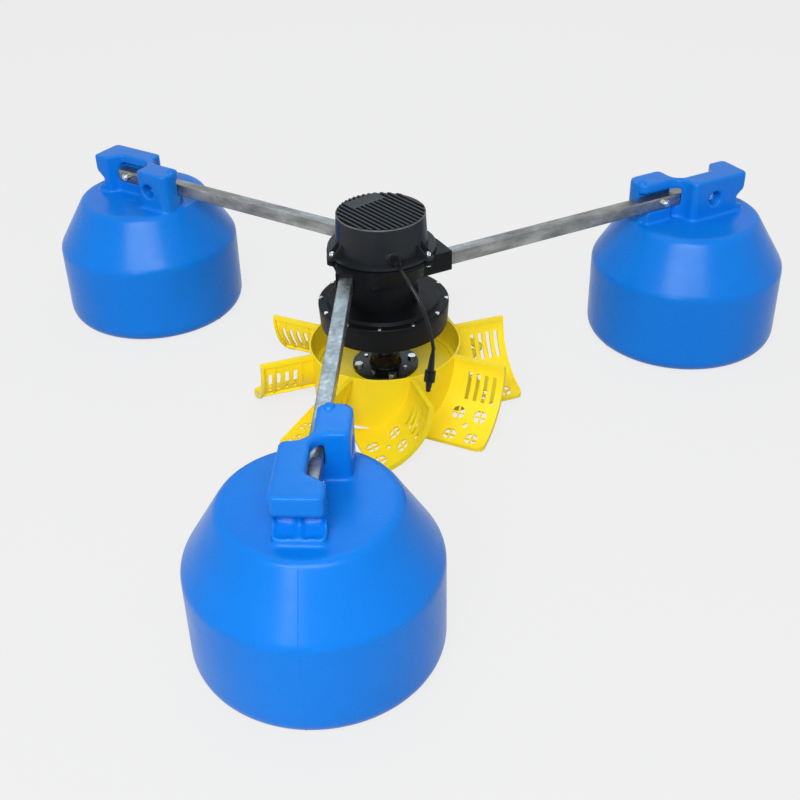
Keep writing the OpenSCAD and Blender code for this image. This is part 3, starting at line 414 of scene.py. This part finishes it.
def clear_arm(mesh, side):
    """Moves the skin's vertices that smoothing has brought into the arm back out of it."""
    place = float_matrix(side)
    back = place.inverted()
    arm = [back @ vert.co for vert in nodes["arm_" + side].data.vertices]
    low = [min(p[axis] for p in arm) - ARM_CLEARANCE for axis in range(3)]
    high = [max(p[axis] for p in arm) + ARM_CLEARANCE for axis in range(3)]
    for vert in mesh.vertices:
        point = back @ vert.co
        if not all(low[axis] < point[axis] < high[axis] for axis in range(3)):
            continue
        ways = [(point[axis] - low[axis], axis, low[axis]) for axis in (1, 2)]
        ways += [(high[axis] - point[axis], axis, high[axis]) for axis in range(3)]
        axis, limit = min(ways)[1:]
        point[axis] = limit
        vert.co = place @ point


def moulded_float(side):
    obj = link("skin_" + side, outer_shell(nodes["float_" + side].data))
    cutter = panel_cutter(side)
    cut_by(obj, cutter)
    remesh = obj.modifiers.new("remesh", "REMESH")
    remesh.mode = "VOXEL"
    remesh.voxel_size = SKIN_VOXEL
    smooth = obj.modifiers.new("smooth", "SMOOTH")
    smooth.factor = SKIN_FACTOR
    smooth.iterations = SKIN_PASSES
    settle(obj, cutter)
    clear_arm(obj.data, side)
    for poly in obj.data.polygons:
        poly.use_smooth = True
    dress(obj, "float_plastic")
    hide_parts("float_" + side)


def arc(x, z, radius, start, stop, steps=8):
    turns = [start + (stop - start) * i / steps for i in range(steps + 1)]
    return [(x + radius * math.cos(t), z + radius * math.sin(t)) for t in turns]


def seam_profile():
    """Outline of a float's skin from the flat of its underside to the edge of its flat top."""
    lean = math.atan2(FLOAT_R - FLOAT_TOP_R, FLOAT_TOP_Z - FLOAT_SHOULDER_Z)
    drop = SEAM_SHOULDER_FILLET * math.tan(lean / 2)
    inset = SEAM_TOP_FILLET * math.tan((math.pi / 2 - lean) / 2)
    line = arc(FLOAT_R - FLOAT_BASE_FILLET, FLOAT_BASE_FILLET, FLOAT_BASE_FILLET, -math.pi / 2, 0)
    line += arc(FLOAT_R - SEAM_SHOULDER_FILLET, FLOAT_SHOULDER_Z - drop, SEAM_SHOULDER_FILLET, 0, lean)
    line += arc(FLOAT_TOP_R - inset, FLOAT_TOP_Z - SEAM_TOP_FILLET, SEAM_TOP_FILLET, lean, math.pi / 2)
    return line


def seam(side, name, turn):
    """Flash line of the mould, a low bead more than half sunk in the skin."""
    place = float_matrix(side) @ Matrix.Rotation(turn, 4, "Z")
    line = [place @ Vector((radius - SEAM_SUNK, 0, max(z, SEAM_R))) for radius, z in seam_profile()]
    dress(tube(name, SEAM_R, 2, line), "float_plastic")


def blow_nub(side):
    """Blow pin's stub on the inner block's top: a low knob with a dimple."""
    bm = bmesh.new()
    rings = []
    for radius, z in NUB_PROFILE[1:]:
        turns = round_turns(NUB_STEPS)
        rings.append([bm.verts.new((radius * math.cos(t), radius * math.sin(t), z)) for t in turns])
    middle = bm.verts.new((0, 0, NUB_PROFILE[0][1]))
    for i in range(NUB_STEPS):
        after = (i + 1) % NUB_STEPS
        bm.faces.new((middle, rings[0][i], rings[0][after]))
        for inner, outer in zip(rings, rings[1:]):
            bm.faces.new((inner[i], outer[i], outer[after], inner[after]))
    bm.faces.new(reversed(rings[-1]))
    data = mesh_from(bm, "nub_" + side)
    for poly in data.polygons:
        poly.use_smooth = True
    data.transform(float_matrix(side) @ Matrix.Translation(NUB_PLACE))
    dress(link("nub_" + side, data), "float_plastic")


for side in ARM_ANGLES:
    moulded_float(side)
    seam(side, "seam_out_" + side, 0.0)
    seam(side, "seam_in_" + side, math.pi)
    blow_nub(side)

# Controller cover: rounded fins, teeth behind its plate, and a rim and plate edge in a lighter grey that is
# a painted highlight
COVER_TOP_Z = cad_box[1][2]
COVER_RIM_Z = COVER_TOP_Z - COVER_RIM_DROP
COVER_RIM_R = COVER_TOP_R - COVER_RIM / 2
FIN_FRAME = Matrix.Translation((0, AXIS_Y, 0)) @ Matrix.Rotation(ARM_SKEW + FIN_TURN, 4, "Z")
FIN_ROUND = 0.0013
PLATE_BACK = 0.084
TOOTH_OVER = 0.002
RIM_BEAD_R = 0.0019
RIM_STEPS = 128
PLATE_BEAD_R = 0.001


def tooth_cutter():
    """Blocks that part the fins' ends from each other in the edge behind the plate."""
    bm = bmesh.new()
    for row in PLATE_ROWS:
        low = (-COVER_TOP_R - TOOTH_OVER, row * FIN_PITCH + FIN_T / 2, COVER_RIM_Z)
        high = (-PLATE_BACK, (row + 1) * FIN_PITCH - FIN_T / 2, COVER_TOP_Z + TOOTH_OVER)
        size = [b - a for a, b in zip(low, high)]
        middle = [(a + b) / 2 for a, b in zip(low, high)]
        bmesh.ops.create_cube(bm, size=1, matrix=Matrix.Translation(middle) @ Matrix.Diagonal((*size, 1)))
    data = mesh_from(bm, "teeth")
    data.transform(FIN_FRAME)
    return link("teeth", data)


def weigh_fins(mesh):
    """Marks the sharp edges of the fins' tops for rounding."""
    bm = bmesh.new()
    bm.from_mesh(mesh)
    weight = bm.edges.layers.float.new("bevel_weight_edge")
    for edge in bm.edges:
        lowest = min(vert.co.z for vert in edge.verts)
        if lowest > COVER_TOP_Z - FIN_ROUND and edge.calc_face_angle(0.0) > SHARP:
            edge[weight] = 1.0
    bm.to_mesh(mesh)
    bm.free()


def finned_cover():
    obj = link("cover_skin", outer_shell(nodes["controller_cover"].data))
    cutter = tooth_cutter()
    cut_by(obj, cutter)
    settle(obj, cutter)
    weigh_fins(obj.data)
    bevel = obj.modifiers.new("bevel", "BEVEL")
    bevel.width = FIN_ROUND
    bevel.segments = 3
    bevel.limit_method = "WEIGHT"
    dress(obj, "cover_black")
    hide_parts("controller_cover")


def painted_highlight_bead(name, radius, line, closed):
    """A rounded edge of the cover in a lighter grey than the cover, a painted highlight along the edge."""
    bead = tube(name, radius, 3, [FIN_FRAME @ Vector(place) for place in line], closed)
    dress(bead, "painted_highlight_grey")


def cover_edges():
    turns = round_turns(RIM_STEPS)
    rim = [(COVER_RIM_R * math.cos(t), COVER_RIM_R * math.sin(t), COVER_RIM_Z) for t in turns]
    painted_highlight_bead("cover_rim", RIM_BEAD_R, rim, True)
    rows = (PLATE_ROWS[0], PLATE_ROWS[-1] + 1)
    edge = [(-COVER_RIM_R / 2, row * FIN_PITCH, COVER_TOP_Z - PLATE_BEAD_R / 2) for row in rows]
    painted_highlight_bead("plate_edge", PLATE_BEAD_R, edge, False)


finned_cover()
cover_edges()

# Supply cable, along the route that the part's source holds, from the gland's end
ROUTE_MM = [(0, 0, 0), (12, 0, 0), (26, 0, -1), (40, 1, -4), (53, 4, -10), (65, 8, -18), (75, 13, -29),
            (84, 18, -41), (92, 23, -55), (98, 27, -70), (104, 30, -85), (109, 33, -101), (114, 35, -116),
            (118, 37, -129), (121, 38, -142), (122, 36, -155)]
MM_PER_M = 1000
gland = Matrix.Translation((0, AXIS_Y, 0)) @ Matrix.Rotation(GLAND_TURN, 4, "Z")
gland = gland @ Matrix.Translation((GLAND_END_R, 0, GLAND_Z))
route = [gland @ (Vector(p) / MM_PER_M) for p in ROUTE_MM]
cable = tube("cable", CABLE_R, 4, route)
cable.data.materials.append(MATS["cable_rubber"])
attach(cable, "frame")
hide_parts("supply_cable")

# Backdrop: a plain pale grey that camera, mirror and clear surfaces see
BACKDROP_SHARE = 0.84
BACKDROP_GLOW = 0.94
FLOOR_COLOUR = 0.45
FLOOR_ROUGH = 0.9
FLOOR_GLOSS = 0.1
FLOOR_HALF = 30.0
WORLD_LIGHT = 0.38
WHITE = (1, 1, 1, 1)

# The sky has the tone of the floor far from the lamps, so no horizon shows
BACKDROP = BACKDROP_SHARE * BACKDROP_GLOW + (1 - BACKDROP_SHARE) * FLOOR_COLOUR * WORLD_LIGHT


def seen_directly(tree):
    """1 for camera, glossy and transmission rays."""
    path = tree.nodes.new("ShaderNodeLightPath")
    value = path.outputs["Is Camera Ray"]
    for ray in ("Is Glossy Ray", "Is Transmission Ray"):
        larger = tree.nodes.new("ShaderNodeMath")
        larger.operation = "MAXIMUM"
        tree.links.new(value, larger.inputs[0])
        tree.links.new(path.outputs[ray], larger.inputs[1])
        value = larger.outputs["Value"]
    return value


def mixed(tree, share, first, second, target):
    mix = tree.nodes.new("ShaderNodeMixShader")
    tree.links.new(share, mix.inputs["Fac"])
    tree.links.new(first, mix.inputs[1])
    tree.links.new(second, mix.inputs[2])
    tree.links.new(mix.outputs["Shader"], target)


floor_mesh = bpy.data.meshes.new("floor")
corners = [(FLOOR_HALF * x, FLOOR_HALF * y, 0) for x, y in ((-1, -1), (1, -1), (1, 1), (-1, 1))]
floor_mesh.from_pydata(corners, [], [(0, 1, 2, 3)])
floor = link("floor", floor_mesh)
floor_mat, floor_tree, floor_shader = node_tree("floor")
floor_shader.inputs["Base Color"].default_value = (FLOOR_COLOUR, FLOOR_COLOUR, FLOOR_COLOUR, 1)
floor_shader.inputs["Roughness"].default_value = FLOOR_ROUGH
floor_shader.inputs["Specular IOR Level"].default_value = FLOOR_GLOSS
plain = floor_tree.nodes.new("ShaderNodeEmission")
plain.inputs["Strength"].default_value = BACKDROP_GLOW
share = floor_tree.nodes.new("ShaderNodeMath")
share.operation = "MULTIPLY"
share.inputs[1].default_value = BACKDROP_SHARE
floor_tree.links.new(seen_directly(floor_tree), share.inputs[0])
floor_out = floor_tree.nodes["Material Output"].inputs["Surface"]
mixed(floor_tree, share.outputs["Value"], floor_shader.outputs["BSDF"], plain.outputs["Emission"], floor_out)
floor_mesh.materials.append(floor_mat)

world = bpy.data.worlds.new("studio")
scene.world = world
world.use_nodes = True
sky = world.node_tree
light = sky.nodes["Background"]
light.inputs["Color"].default_value = WHITE
light.inputs["Strength"].default_value = WORLD_LIGHT
seen = sky.nodes.new("ShaderNodeBackground")
seen.inputs["Color"].default_value = WHITE
seen.inputs["Strength"].default_value = BACKDROP
sky_out = sky.nodes["World Output"].inputs["Surface"]
mixed(sky, seen_directly(sky), light.outputs["Background"], seen.outputs["Background"], sky_out)

# Lamps: two over the camera, a window that the front float mirrors, a weak one above, and a bluish panel
# behind that the front arm mirrors
MIDDLE = (0, 0.1, 0.25)
FRONT_FLOAT = (0.08, -0.6, 0.27)
FRONT_ARM = (0, -0.3, 0.4)
NEUTRAL = (1, 1, 1)
SKY_BLUE = (0.46, 0.76, 1.0)


def area(name, place, target, width, height, watts, colour=NEUTRAL):
    lamp = bpy.data.lights.new(name, "AREA")
    lamp.shape = "RECTANGLE"
    lamp.size = width
    lamp.size_y = height
    lamp.energy = watts
    lamp.color = colour
    obj = link(name, lamp)
    obj.location = place
    obj.rotation_euler = (Vector(target) - Vector(place)).to_track_quat("-Z", "Y").to_euler()


area("key", (0.2, -3.9, 5.4), MIDDLE, width=2.0, height=1.6, watts=54)
area("strip", (0.3, -4.8, 4.5), MIDDLE, width=5.6, height=1.0, watts=262)
area("window", (-0.7, -5.1, 2.1), FRONT_FLOAT, width=1.2, height=1.5, watts=46)
area("top", (-0.3, 0.5, 3.6), MIDDLE, width=2.4, height=2.4, watts=16)
area("panel", (-0.6, 3.0, 2.7), FRONT_ARM, width=1.1, height=0.9, watts=9, colour=SKY_BLUE)

# Camera, fitted to the photograph
CAMERA_PLACE = (0.3991, -2.1222, 1.5626)
CAMERA_FORWARD = (-0.1528, 0.825, -0.5441)
CAMERA_ROLL = math.radians(-2.342)
camera = bpy.data.cameras.new("camera")
camera.sensor_width = 36.0
camera.lens = 52.9
camera.shift_x = 0.0332
camera.shift_y = -0.0179
camera.clip_end = 100
camera_obj = link("camera", camera)
forward = Vector(CAMERA_FORWARD).normalized()
right = forward.cross(Vector((0, 0, 1))).normalized()
up = right.cross(forward)
right_rolled = math.cos(CAMERA_ROLL) * right + math.sin(CAMERA_ROLL) * up
up_rolled = math.cos(CAMERA_ROLL) * up - math.sin(CAMERA_ROLL) * right
turned = Matrix((right_rolled, up_rolled, -forward)).transposed().to_4x4()
camera_obj.matrix_world = Matrix.Translation(CAMERA_PLACE) @ turned
scene.camera = camera_obj
